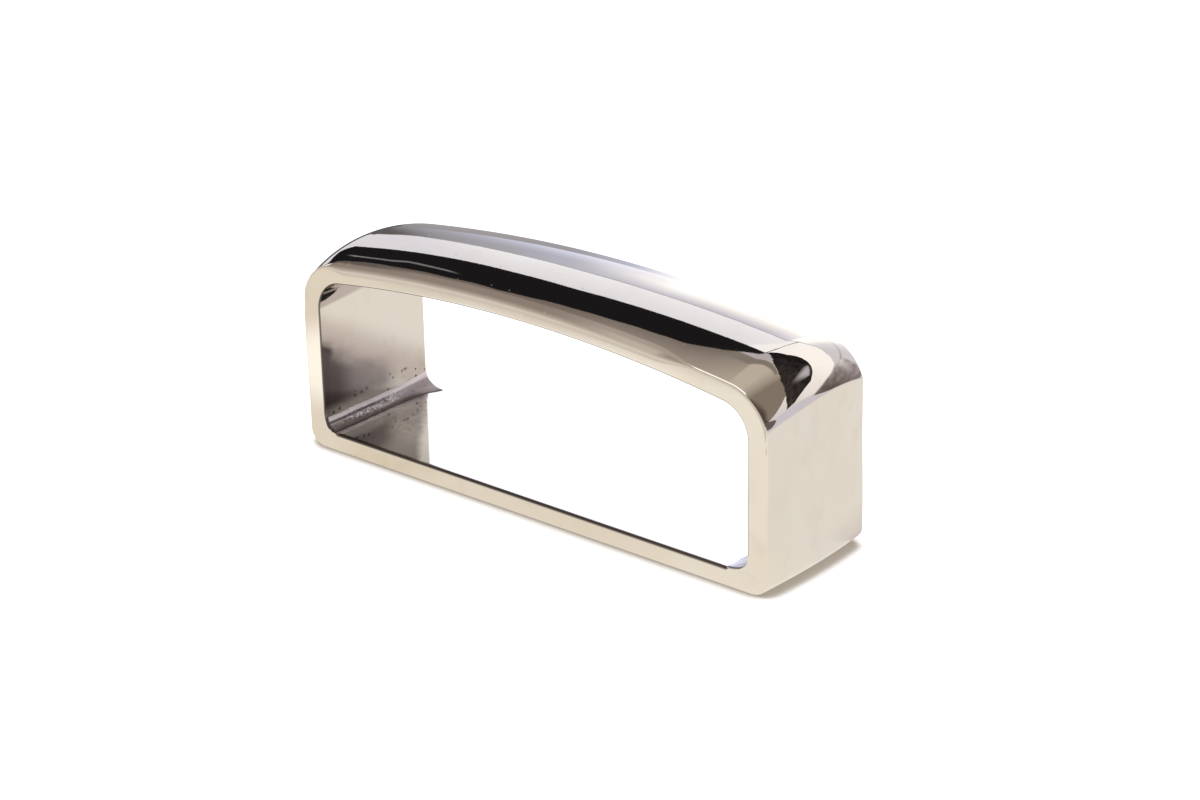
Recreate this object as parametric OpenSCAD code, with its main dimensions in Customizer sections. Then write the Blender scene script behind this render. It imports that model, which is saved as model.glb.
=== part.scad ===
// Strap loop: a domed, arched bow of polished nickel whose two legs stand on a flat bar.
// Solder joins each foot to the bar and fills the inner corner beside it.
// X runs across the strap, Y along the strap through the loop, Z up from the bar's underside.
// The loop is centred on X and on Y, and stands on Z = 0.

/* [Passage for the strap] */
// Clear width between the legs
passage_w = 25; // [20:0.5:40]
// Clear height from the bar to the middle of the arch
passage_h = 8.5; // [7:0.1:14]

/* [Bow] */
// Depth of the bow along the strap
bow_d = 7; // [5:0.25:12]
// Thickness of each leg, at its front and back edges
leg_t = 1; // [0.7:0.05:1.6]
// Thickness of the arch at its middle, at its front and back edges
arch_t = 0.8; // [0.6:0.05:1.4]
// Radius of the arch on the inside
arch_inner_r = 74; // [40:1:160]
// Radius of the arch on the outside
arch_outer_r = 84; // [45:1:170]
// Radius of the upper corners on the inside
corner_inner_r = 1.6; // [0.8:0.1:3]
// Radius of the upper corners on the outside
corner_outer_r = 2.4; // [2:0.1:3.6]
// Rise of the dome above its front and back edges
dome_rise = 0.65; // [0.3:0.05:1.2]

/* [Ground sides] */
// Metal ground off each side of the dome where it turns down into a leg
side_grind = 0.03; // [0.01:0.01:0.1]
// Swell of each ground side at the middle of its depth
side_rise = 0.2; // [0.05:0.05:0.25]

/* [Base bar] */
// Thickness of the bar
bar_t = 0.9; // [0.7:0.05:1.6]
// Radius of the bar's lower outer corners
foot_r = 0.8; // [0.3:0.05:1.2]

/* [Solder] */
// Thickness of the solder between a foot and the bar
solder_t = 0.05; // [0.03:0.01:0.15]
// Radius of the hollow fillet in the left inner corner
fillet_left_r = 0.6; // [0.3:0.05:1.2]
// Radius of the hollow fillet in the right inner corner
fillet_right_r = 0.8; // [0.3:0.05:1.2]

/* [Hidden] */
$fn = 96;
// Colours of the polished metal and of the solder
nickel = [0.84, 0.78, 0.7];
solder_grey = [0.62, 0.58, 0.55];
// Room by which a cutting shape passes the metal that it cuts
past = 1;
// Half the width over the ground sides, at the front and back edges
half_w = passage_w / 2 + leg_t;
// Height of the legs' feet, on the solder
foot_z = bar_t + solder_t;
// Heights of the arch's middle, inside and outside
arch_inner_z = bar_t + passage_h;
arch_outer_z = arch_inner_z + arch_t;
// The outer corners turn about these points, before the sides are ground
corner_x = half_w + side_grind - corner_outer_r;
corner_z = corner_centre_z(arch_outer_z, arch_outer_r, corner_outer_r, corner_x);
arch_centre_z = arch_outer_z - arch_outer_r;
// Half the angle that the outer arch spans
arch_half_angle = atan2(corner_x, corner_z - arch_centre_z);
// Radii are rounded to so many decimals, so that faces that meet share one radius
radius_decimals = 4;
// Radii of the dome's and the ground sides' curves, seen along the band and from above
dome_r = round_to(sagitta_radius(bow_d, dome_rise), radius_decimals);
side_r = round_to(sagitta_radius(bow_d, side_rise), radius_decimals);
// Where the right ground side's curve is centred, seen from above
side_centre = half_w + side_rise - side_r;
// Angle by which the arch turns past the middle, where it is then trimmed
overturn = 1;
// How far each leg reaches up into its corner, behind the ground side
leg_lap = 0.1;
// A lower corner leaves at least this much flat end above it
min_flat = 0.05;
foot_round = min(foot_r, bar_t - min_flat);
// Height of everything
total_h = arch_outer_z + dome_rise;

// A number rounded to so many decimals
function round_to(number, decimals) = round(number * pow(10, decimals)) / pow(10, decimals);

// Radius of the arc that rises by rise over a chord
function sagitta_radius(chord, rise) = (chord * chord / 4 + rise * rise) / (2 * rise);

// Height of the centre of a corner of radius r, at distance x from the middle,
// that meets an arch of radius arch_r and top height top_z without a kink
function corner_centre_z(top_z, arch_r, r, x) =
    top_z - arch_r + sqrt(pow(arch_r - r, 2) - x * x);

// Cross-section of the domed band. Its flat web is as deep as a corner's radius and ends
// at radius r, and the dome lies beyond it.
module dome_section(r) {
    intersection() {
        translate([r - corner_outer_r, -bow_d / 2]) square([corner_outer_r + dome_rise, bow_d]);
        translate([r + dome_rise - dome_r, 0]) circle(dome_r);
    }
}

// The domed band bent about an axis along Y that lies r behind its outer edge.
// It starts on the plane z = 0 and turns upwards.
module bent_band(r, turn) {
    translate([-r, 0, 0]) rotate([90, 0, 0])
        rotate_extrude(angle = turn) dome_section(r);
}

// The right half of the arch with its corner, both started on the plane where they meet
module arch_and_corner() {
    meet_x = arch_outer_r * sin(arch_half_angle);
    meet_z = arch_centre_z + arch_outer_r * cos(arch_half_angle);
    translate([meet_x, 0, meet_z])
        rotate([0, arch_half_angle - 90, 0]) {
            bent_band(arch_outer_r, arch_half_angle + overturn);
            mirror([0, 0, 1]) bent_band(corner_outer_r, 90 - arch_half_angle);
        }
}

// The right half of the bow before the passage is cleared, with its ground side
module half_bow() {
    intersection() {
        arch_and_corner();
        translate([0, -bow_d / 2, corner_z]) cube([half_w + past, bow_d, total_h]);
        translate([0, 0, corner_z]) linear_extrude(total_h) ground_outline();
    }
    translate([0, 0, foot_z]) linear_extrude(corner_z - foot_z + leg_lap) intersection() {
        ground_outline();
        translate([corner_x, -bow_d / 2]) square([corner_outer_r + past, bow_d]);
    }
}

// Outline of the loop seen from above, with its two ground sides
module ground_outline() {
    intersection() {
        translate([side_centre, 0]) circle(side_r);
        translate([-side_centre, 0]) circle(side_r);
        square([2 * (half_w + past), bow_d], center = true);
    }
}

// Clear shape inside the loop, seen from the front, down to the bar
module passage_profile() {
    x = passage_w / 2 - corner_inner_r;
    z = corner_centre_z(arch_inner_z, arch_inner_r, corner_inner_r, x);
    centre_z = arch_inner_z - arch_inner_r;
    tangent_x = x * arch_inner_r / (arch_inner_r - corner_inner_r);
    translate([-passage_w / 2, bar_t - past]) square([passage_w, z - bar_t + past]);
    for (side = [-1, 1]) translate([side * x, z]) circle(corner_inner_r);
    intersection() {
        translate([-tangent_x, bar_t]) square([2 * tangent_x, passage_h + past]);
        translate([0, centre_z]) circle(arch_inner_r);
    }
}

// The bow: arch, corners and legs in one bent piece
module domed_bow() {
    color(nickel) difference() {
        union() {
            half_bow();
            mirror([1, 0, 0]) half_bow();
        }
        rotate([90, 0, 0]) linear_extrude(bow_d + 2 * past, center = true) passage_profile();
    }
}

// A disc with a rounded lower rim; its rim forms one rounded end of the bar
module rounded_disc() {
    rotate_extrude() {
        square([side_r - foot_round, bar_t]);
        translate([0, foot_round]) square([side_r, bar_t - foot_round]);
        intersection() {
            translate([side_r - foot_round, foot_round]) circle(foot_round);
            square([side_r, bar_t]);
        }
    }
}

// The flat bar that closes the loop underneath
module base_bar() {
    color(nickel) intersection() {
        translate([side_centre, 0, 0]) rounded_disc();
        translate([-side_centre, 0, 0]) rounded_disc();
        translate([-half_w - past, -bow_d / 2, 0]) cube([2 * (half_w + past), bow_d, bar_t]);
    }
}

// Solder under the right foot, with the hollow fillet beside it
module solder_seam(fillet_r) {
    intersection() {
        translate([0, 0, bar_t]) linear_extrude(solder_t) ground_outline();
        translate([passage_w / 2, -bow_d / 2, bar_t]) cube([leg_t + past, bow_d, solder_t]);
    }
    rotate([90, 0, 0]) linear_extrude(bow_d, center = true) difference() {
        translate([passage_w / 2 - fillet_r, bar_t]) square(fillet_r);
        translate([passage_w / 2 - fillet_r, bar_t + fillet_r]) circle(fillet_r);
    }
}

module solder_seam_left() {
    color(solder_grey) mirror([1, 0, 0]) solder_seam(fillet_left_r);
}

module solder_seam_right() {
    color(solder_grey) solder_seam(fillet_right_r);
}

domed_bow();
base_bar();
solder_seam_left();
solder_seam_right();
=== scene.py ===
"""Dresses the strap loop: polished nickel, rough solder in the inner corners, a white studio.

Lengths are in millimetres until a mesh is made. The loop's ring is walked as stations: at a
station, a surface point lies at centre + (radius + height) * normal in the X-Z plane, and the
height is a function of y, which runs along the strap.
"""
import math

import bmesh
import bpy
from mathutils import Matrix, Vector, noise


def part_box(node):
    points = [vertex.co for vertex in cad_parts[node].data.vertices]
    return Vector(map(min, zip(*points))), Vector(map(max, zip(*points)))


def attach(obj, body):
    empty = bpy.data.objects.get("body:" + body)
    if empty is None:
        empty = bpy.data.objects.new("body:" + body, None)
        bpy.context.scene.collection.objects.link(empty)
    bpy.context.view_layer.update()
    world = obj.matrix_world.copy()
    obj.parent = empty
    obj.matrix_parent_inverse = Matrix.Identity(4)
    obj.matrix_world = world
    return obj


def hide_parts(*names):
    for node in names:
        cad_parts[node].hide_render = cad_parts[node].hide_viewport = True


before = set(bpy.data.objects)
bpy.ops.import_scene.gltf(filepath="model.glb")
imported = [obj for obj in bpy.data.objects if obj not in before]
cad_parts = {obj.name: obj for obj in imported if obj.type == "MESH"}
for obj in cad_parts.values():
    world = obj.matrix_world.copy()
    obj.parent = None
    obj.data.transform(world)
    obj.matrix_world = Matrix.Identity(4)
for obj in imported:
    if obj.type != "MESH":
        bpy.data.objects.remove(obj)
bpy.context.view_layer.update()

MM = 0.001


def box_mm(node):
    """A node's lowest and highest corners in millimetres, to 0.01 mm."""
    low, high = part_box(node)
    return [round(v / MM, 2) for v in low], [round(v / MM, 2) for v in high]


BOW_LOW, BOW_HIGH = box_mm("domed_bow")
BAR_HIGH = box_mm("base_bar")[1]
LEFT_HIGH = box_mm("solder_seam_left")[1]
RIGHT_LOW, RIGHT_HIGH = box_mm("solder_seam_right")

# Sizes that the frame's boxes give
HALF_D = BOW_HIGH[1]
BAR_T = BAR_HIGH[2]
FOOT_Z = BOW_LOW[2]
FILLET_LEFT = LEFT_HIGH[2] - BAR_T
FILLET_RIGHT = RIGHT_HIGH[2] - BAR_T
PASSAGE_HALF = FILLET_RIGHT + RIGHT_LOW[0]

# Sizes of the curves between them
DOME_RISE = 0.65
SIDE_RISE = 0.2
SIDE_GRIND = 0.03
ARCH_T = 0.8
ARCH_OUTER_R = 84.0
ARCH_INNER_R = 74.0
CORNER_OUTER_R = 2.4
CORNER_INNER_R = 1.6
FOOT_R = 0.8

HALF_W = BAR_HIGH[0] - SIDE_RISE
ARCH_OUTER_Z = BOW_HIGH[2] - DOME_RISE
ARCH_INNER_Z = ARCH_OUTER_Z - ARCH_T

# Radii of the worn edges: soft along the front of the arch, crisper elsewhere
EDGE_ARCH = 0.6
EDGE_BACK = 0.16
EDGE_CORNER = 0.13
EDGE_INNER = 0.08
EDGE_FLOOR = 0.16
EDGE_FLOOR_BACK = 0.01
# Along x, the arch's front edge grows soft over the first stretch and crisp over the second
SOFT_FROM = (-12.2, -10.8)
SOFT_TO = (7.4, 9.8)
# Radius left on an edge that solder covers
EDGE_COVERED = 0.004


def arc(rise):
    """Height function of an arc that spans the loop's depth and rises by this in the middle."""
    radius = (HALF_D * HALF_D + rise * rise) / (2 * rise)
    return lambda y: math.sqrt(radius * radius - y * y) - radius + rise


# Height of the dome over its edges, and how far a ground side swells out past its edges
dome = arc(DOME_RISE)
swell = arc(SIDE_RISE)


def smooth_min(a, b, width):
    """The lesser of two values, rounded over where they differ by less than width."""
    share = max(width - abs(a - b), 0.0) / width
    return min(a, b) - share * share * width / 4


def smooth_step(low, high, value):
    """0 up to low, 1 from high on, and a smooth rise between. high may be the lesser."""
    t = min(max((value - low) / (high - low), 0.0), 1.0)
    return t * t * (3 - 2 * t)


# From the first height to the second, a side grows worn: rounder by this share, and out at the
# front edge and in at the back edge by these lengths
SIDE_WORN_FROM = FOOT_Z + 1
SIDE_WORN_TO = FOOT_Z + 5
SIDE_WORN = 0.5
SIDE_OUT_FRONT = 0.035
SIDE_IN_BACK = 0.08


def side(y, z):
    """How far the bow's ground side lies out past its edges at this height."""
    worn = smooth_step(SIDE_WORN_FROM, SIDE_WORN_TO, z)
    t = y / HALF_D
    turned = (SIDE_IN_BACK * (t + 1) - SIDE_OUT_FRONT * (t - 1)) * t / 2
    return swell(y) * (1 + SIDE_WORN * worn) - turned * worn


def flat(y):
    """Height of a surface that is straight along the strap."""
    return 0.0


class Station:
    """A place on the ring's right half, or on the left one where mirrored is -1.

    turn is the normal's angle from +Z towards +X.
    """

    def __init__(self, cx, cz, radius, turn):
        self.cx = cx
        self.cz = cz
        self.radius = radius
        self.nx = math.sin(turn)
        self.nz = math.cos(turn)
        self.mirrored = 1

    def point(self, y, height):
        reach = self.radius + height
        return (self.mirrored * (self.cx + reach * self.nx), y, self.cz + reach * self.nz)


def steps(low, high, count):
    """count values from low to high, without high."""
    return [low + (high - low) * i / count for i in range(count)]


# How many stations each stretch of half a ring takes
ARCH_STEPS = 90
CORNER_STEPS = 96
LEG_STEPS = 40


def arch_stations(top_z, arch_r, corner_r, corner_x):
    """Stations of the bow's right half, from the arch's middle to a foot, and its corner's height."""
    centre_z = top_z - arch_r
    corner_z = centre_z + math.sqrt((arch_r - corner_r) ** 2 - corner_x ** 2)
    half_angle = math.atan2(corner_x, corner_z - centre_z)
    side = math.pi / 2
    found = [Station(0, centre_z, arch_r, a) for a in steps(0, half_angle, ARCH_STEPS)]
    found += [Station(corner_x, corner_z, corner_r, a) for a in steps(half_angle, side, CORNER_STEPS)]
    down = steps(corner_z, FOOT_Z, LEG_STEPS) + [FOOT_Z]
    found += [Station(corner_x, z, corner_r, side) for z in down]
    return found, corner_z


def both_halves(build):
    """The stations of the left half, from its end to the middle, and then those of the right."""
    left = build()
    for station in left:
        station.mirrored = -1
    return left[:0:-1] + build()


# Sections across the ring

# Steps around each rounded edge
ARC_STEPS = 14
# Shares of the way across the front and back faces, with a row close to each edge
FACE_SHARES = (0.04, 0.35, 0.65, 0.96)
# Steps across the outer and inner surfaces
OUTER_COUNT = 76
INNER_COUNT = 30
# The place where an edge's arc touches the surface settles in this many rounds, with the slope
# taken over this reach
TOUCH_ROUNDS = 6
SLOPE_REACH = 0.01


def front_arc(height, edge):
    """Points (y, height) of the rounded front edge, from the front face to the surface."""
    cy = edge - HALF_D
    y_touch = cy
    for _ in range(TOUCH_ROUNDS):
        rise = height(y_touch + SLOPE_REACH) - height(y_touch - SLOPE_REACH)
        lean = math.atan(rise / (2 * SLOPE_REACH))
        y_touch = edge * (1 - math.sin(lean)) - HALF_D
    ch = height(y_touch) - edge * math.cos(lean)
    end = math.pi / 2 - lean
    return [(cy - edge * math.cos(end * i / ARC_STEPS), ch + edge * math.sin(end * i / ARC_STEPS))
            for i in range(ARC_STEPS + 1)]


# A row of points lies this close beside each rounded edge, so that its shading ends there
BESIDE_EDGE = 0.02


def section(height, front_edge, back_edge, count):
    """Points (y, height) from the front face over the surface to the back face."""
    front = front_arc(height, front_edge)
    back = [(-y, h) for y, h in front_arc(lambda y: height(-y), back_edge)]
    start = front[-1][0] + BESIDE_EDGE
    end = back[-1][0] - BESIDE_EDGE
    middle = [(y, height(y)) for y in steps(start, end, count - 2) + [end]]
    return front + middle + back[::-1]


def ring_loop(outer, outer_height, outer_edges, inner, inner_edges):
    """One closed loop of points around the metal at a pair of stations."""
    over = [outer.point(y, h) for y, h in section(outer_height, *outer_edges, OUTER_COUNT)]
    under = [inner.point(y, -h) for y, h in section(flat, *inner_edges, INNER_COUNT)]

    def across(a, b):
        return [tuple(p + (q - p) * share for p, q in zip(a, b)) for share in FACE_SHARES]

    return over + across(over[-1], under[-1]) + under[::-1] + across(under[0], over[0])


def ring_marks():
    """For each point of a loop: 1 on the passage's side, and 1 on its rounded front rim, which takes
    painted shade.
    """
    rim = [math.sin(math.pi * i / ARC_STEPS) for i in range(ARC_STEPS + 1)]
    outside = [0.0] * (2 * ARC_STEPS + OUTER_COUNT + 1)
    face = [0.0] * len(FACE_SHARES)
    inside = [i / ARC_STEPS for i in range(ARC_STEPS + 1)]
    middle = INNER_COUNT - 1
    marks_inside = outside + face + inside + [1.0] * middle + inside[::-1] + face
    marks_rim = outside + face + [0.0] * (len(rim) + middle) + rim + face
    return {"inside": marks_inside, "rim": marks_rim}


# Depth and length of the polish's slow waves, which are shorter along y by this factor
WAVE_DEPTH = 0.0016
WAVE_LENGTH = 4.5
WAVE_SHORTER = 1.4


def polish_wave(x, y, z):
    """Height of the slow waves that hand polishing leaves."""
    return WAVE_DEPTH * noise.noise(Vector((x, y * WAVE_SHORTER, z)) / WAVE_LENGTH)


# The waves fade out towards the foot, over this height
CALM_HEIGHT = 2
# Share by which the dome is worn flatter at the crease, and the sideways parts of the normal over
# which it grows so
CREASE_WORN = 0.15
CREASE_WORN_OVER = (0.55, 0.92)
# A ground side cuts off the dome where the sideways part of the normal is larger than this
SIDE_STARTS = 0.2
# Width over which the dome rounds into a ground side, at the front and at the back
CREASE_FRONT = 0.2
CREASE_BACK = 0.02
# The crease sharpens over this stretch of y
CREASE_SHARPENS = (-1.8, 0.8)


def outer_height(station, corner_z):
    """Height function of the bow's outer surface: the dome, cut off by the ground side."""
    # Along a leg the dome moves out of the way, which leaves the ground side alone
    aside = max(corner_z - station.cz, 0.0) ** 2 if station.nx == 1 else 0.0
    z = station.cz + station.radius * station.nz
    calm = smooth_step(FOOT_Z, FOOT_Z + CALM_HEIGHT, z)
    share = 1 - CREASE_WORN * smooth_step(*CREASE_WORN_OVER, station.nx)

    def height(y):
        domed = dome(y) * share + aside
        if station.nx > SIDE_STARTS:
            ground = (HALF_W + side(y, z) - station.cx) / station.nx - station.radius
            width = CREASE_FRONT + (CREASE_BACK - CREASE_FRONT) * smooth_step(*CREASE_SHARPENS, y)
            domed = smooth_min(domed, ground, width)
        return domed + calm * polish_wave(*station.point(y, domed))

    return height


def outer_edges(station):
    """Radii of the bow's outer edges: soft along the arch's front, crisp at the corners and legs."""
    x = station.mirrored * (station.cx + station.radius * station.nx)
    soft = smooth_step(*SOFT_FROM, x) * (1 - smooth_step(*SOFT_TO, x))
    front = EDGE_CORNER + (EDGE_ARCH - EDGE_CORNER) * soft
    back = EDGE_CORNER + (EDGE_BACK - EDGE_CORNER) * soft
    return front, back


# Past a fillet's border, a covered edge takes this long to grow to its full radius
UNCOVER = 0.1


def covered_edge(full, fillet, away):
    """Radius of an edge away from the corner's lines, which shrinks where solder covers it."""
    return EDGE_COVERED + (full - EDGE_COVERED) * smooth_step(fillet, fillet + UNCOVER, away)


def fillet_beside(station):
    """Radius of the fillet on this side of the loop."""
    return FILLET_RIGHT if station.mirrored > 0 else FILLET_LEFT


# The right fillet's toe runs out this much farther along the bar at the front, and does so over
# this stretch of y
TOE_RIGHT = 0.4
TOE_OVER = (-0.5, -2.5)


def bow_loops():
    outer_x = HALF_W + SIDE_GRIND - CORNER_OUTER_R
    inner_x = PASSAGE_HALF - CORNER_INNER_R
    corner_z = arch_stations(ARCH_OUTER_Z, ARCH_OUTER_R, CORNER_OUTER_R, outer_x)[1]

    def outer():
        return arch_stations(ARCH_OUTER_Z, ARCH_OUTER_R, CORNER_OUTER_R, outer_x)[0]

    def inner():
        return arch_stations(ARCH_INNER_Z, ARCH_INNER_R, CORNER_INNER_R, inner_x)[0]

    loops = []
    for over, under in zip(both_halves(outer), both_halves(inner)):
        rim = EDGE_INNER
        if under.nx == 1:
            rim = covered_edge(EDGE_INNER, fillet_beside(under), under.cz - BAR_T)
        loops.append(ring_loop(over, outer_height(over, corner_z), outer_edges(over), under, (rim, rim)))
    return loops


# How many stations half the bar takes: along its flats, around a lower corner and up an end
UNDER_STEPS = 60
FOOT_STEPS = 24
END_STEPS = 2


def bar_outer():
    """Right half of the bar's outside, from the middle of the underside up to its end."""
    corner_x = HALF_W - FOOT_R
    side = math.pi / 2
    found = [Station(x, FOOT_R, FOOT_R, math.pi) for x in steps(0, corner_x, UNDER_STEPS)]
    found += [Station(corner_x, FOOT_R, FOOT_R, a) for a in steps(math.pi, side, FOOT_STEPS)]
    up = steps(FOOT_R, BAR_T, END_STEPS) + [BAR_T]
    return found + [Station(corner_x, z, FOOT_R, side) for z in up]


def bar_inner():
    """Right half of the bar's top, out to the leg's inner face."""
    count = UNDER_STEPS + FOOT_STEPS + END_STEPS
    out = steps(0, PASSAGE_HALF, count) + [PASSAGE_HALF]
    return [Station(x, BAR_T, 0, math.pi) for x in out]


# Over this stretch of y, the bar's lower corners are worn from round to this much longer along x
FOOT_WORN = 0.4
FOOT_WORN_OVER = (-4.4, 1.5)


def worn_foot(station, longer):
    """How far an elliptic lower corner, longer along x than high, lies inside the round one."""
    a = FOOT_R + longer
    off = max(station.cx - (HALF_W - a), 0.0)
    square = (station.nx / a) ** 2 + (station.nz / FOOT_R) ** 2
    half = off * station.nx / a ** 2
    rest = (off / a) ** 2 - 1
    return FOOT_R - (math.sqrt(half ** 2 - square * rest) - half) / square


def bar_height(station):
    """Height function of the bar's outside: its ends swell, and its lower corners are worn."""
    end = station.nx ** 2

    def height(y):
        return swell(y) * end - worn_foot(station, FOOT_WORN * smooth_step(*FOOT_WORN_OVER, y))

    return height


def bar_loops():
    loops = []
    for over, under in zip(both_halves(bar_outer), both_halves(bar_inner)):
        away = PASSAGE_HALF - under.cx
        toe = fillet_beside(under) + (TOE_RIGHT / 2 if under.mirrored > 0 else 0)
        outer = EDGE_CORNER, EDGE_CORNER
        inner = covered_edge(EDGE_FLOOR, toe, away), covered_edge(EDGE_FLOOR_BACK, toe, away)
        loops.append(ring_loop(over, bar_height(over), outer, under, inner))
    return loops


# Solder

# Steps around a hollow fillet
FILLET_STEPS = 24
# Radii of a fillet's worn front and back ends
END_FRONT = 0.12
END_BACK = 0.04


def worn_end(y):
    """How far a fillet's worn ends draw it in, at this place along the strap."""
    radius = END_FRONT if y < 0 else END_BACK
    near = HALF_D - abs(y)
    if near >= radius:
        return 0.0
    return radius - math.sqrt(radius ** 2 - (radius - near) ** 2)


def solder_loops(side, along_wall, along_floor, grain):
    """Closed outlines, one for each y, of the film under a foot with the hollow fillet beside it.

    along_wall and along_floor give the fillet's reach at y, and grain its roughness there.
    """
    foot = Station(HALF_W - FOOT_R, FOOT_Z, FOOT_R, math.pi / 2)
    loops = []
    for y, h in section(swell, EDGE_CORNER, EDGE_CORNER, OUTER_COUNT):
        out_x = foot.point(y, h)[0]
        up = along_wall(y) - worn_end(y)
        over = along_floor(y) - worn_end(y)
        outline = [(PASSAGE_HALF, FOOT_Z), (out_x, FOOT_Z), (out_x, BAR_T), (PASSAGE_HALF, BAR_T)]
        for i in range(FILLET_STEPS + 1):
            a = math.pi / 2 * i / FILLET_STEPS
            lift = grain(y, a) * math.sin(2 * a) ** 2
            x = PASSAGE_HALF - over * (1 - math.sin(a)) - lift * math.sin(a)
            z = BAR_T + up * (1 - math.cos(a)) + lift * math.cos(a)
            outline.append((x, z))
        loops.append([(side * px, y, pz) for px, pz in outline])
    return loops


def solder_marks():
    """For each point of an outline: 1 on the hollow fillet, and its share of the climb up the wall."""
    hidden = [0.0] * 4
    climb = [i / FILLET_STEPS for i in range(FILLET_STEPS + 1)]
    return {"hollow": hidden + [1.0] * len(climb), "climb": hidden + climb}


# A fillet reaches this share of its radius, give or take a slow wander
FILLET_REACH = 0.97
# The left fillet flares towards the back, from this y on, by these lengths up and out
FLARE_START = 1.0
FLARE_UP = 0.12
FLARE_OUT = 0.5
# Its rough stretch fades in and out over these stretches of y. The grain has these depths: the
# left fillet's own, what the rough stretch adds, and the right fillet's
GRAIN_IN = (-HALF_D, -2.4)
GRAIN_OUT = (2.6, 0.6)
GRAIN_LEFT = 0.006
GRAIN_ROUGH = 0.045
GRAIN_RIGHT = 0.012


def solder_left():
    def along_wall(y):
        back = smooth_step(FLARE_START, HALF_D, y)
        wander = 0.05 * noise.noise(Vector((y, 3.1, 0)))
        return FILLET_LEFT * (FILLET_REACH + wander) + FLARE_UP * back

    def along_floor(y):
        back = smooth_step(FLARE_START, HALF_D, y)
        wander = 0.06 * noise.noise(Vector((y * 1.3, 7.7, 0)))
        return FILLET_LEFT * (FILLET_REACH + wander) + FLARE_OUT * back ** 3

    def grain(y, a):
        rough = smooth_step(*GRAIN_IN, y) * smooth_step(*GRAIN_OUT, y)
        return (GRAIN_LEFT + GRAIN_ROUGH * rough) * noise.fractal(Vector((y * 4, a * 3, 1.5)), 1.0, 2.0, 4)

    return solder_loops(-1, along_wall, along_floor, grain)


def solder_right():
    def along_wall(y):
        return FILLET_RIGHT * (FILLET_REACH + 0.06 * noise.noise(Vector((y, 1.3, 5))))

    def along_floor(y):
        toe = TOE_RIGHT * smooth_step(*TOE_OVER, y)
        return FILLET_RIGHT * (FILLET_REACH + 0.08 * noise.noise(Vector((y * 1.2, 4.4, 5)))) + toe

    def grain(y, a):
        return GRAIN_RIGHT * noise.fractal(Vector((y * 3, a * 3, 9.5)), 1.0, 2.0, 4)

    return solder_loops(1, along_wall, along_floor, grain)


# Meshes

# Edges stay sharp where their faces differ by more than this angle
SHARP_ANGLE = 40


def mesh_object(name, points, faces, material):
    """An object from points in millimetres, smooth-shaded with sharp edges kept."""
    mesh = bpy.data.meshes.new(name)
    mesh.from_pydata([tuple(v * MM for v in p) for p in points], [], faces)
    mesh.update()
    mesh.shade_smooth()
    mesh.set_sharp_from_angle(angle=math.radians(SHARP_ANGLE))
    mesh.materials.append(material)
    made = bpy.data.objects.new(name, mesh)
    bpy.context.scene.collection.objects.link(made)
    return made


def skin(loops):
    """Points and faces of a closed solid through loops of points, with flat ends."""
    count = len(loops[0])
    points = [p for loop in loops for p in loop]
    faces = []
    for i in range(len(loops) - 1):
        for j in range(count):
            k = (j + 1) % count
            a = i * count
            b = a + count
            faces.append((a + j, a + k, b + k, b + j))
    last = (len(loops) - 1) * count
    faces.append(tuple(range(count))[::-1])
    faces.append(tuple(range(last, last + count)))
    return points, faces


def turn_outward(mesh):
    """Turns all faces to look out of the solid."""
    work = bmesh.new()
    work.from_mesh(mesh)
    bmesh.ops.recalc_face_normals(work, faces=work.faces)
    work.to_mesh(mesh)
    work.free()


def mark_points(mesh, marks, loop_count):
    """Stores each mark, which is given for one loop, on the points of all loops."""
    for name, values in marks.items():
        stored = mesh.attributes.new(name, "FLOAT", "POINT")
        stored.data.foreach_set("value", values * loop_count)


def build_piece(name, loops, marks, material, node):
    points, faces = skin(loops)
    piece = mesh_object(name, points, faces, material)
    turn_outward(piece.data)
    mark_points(piece.data, marks, len(loops))
    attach(piece, "root")
    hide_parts(node)


# Materials

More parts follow.
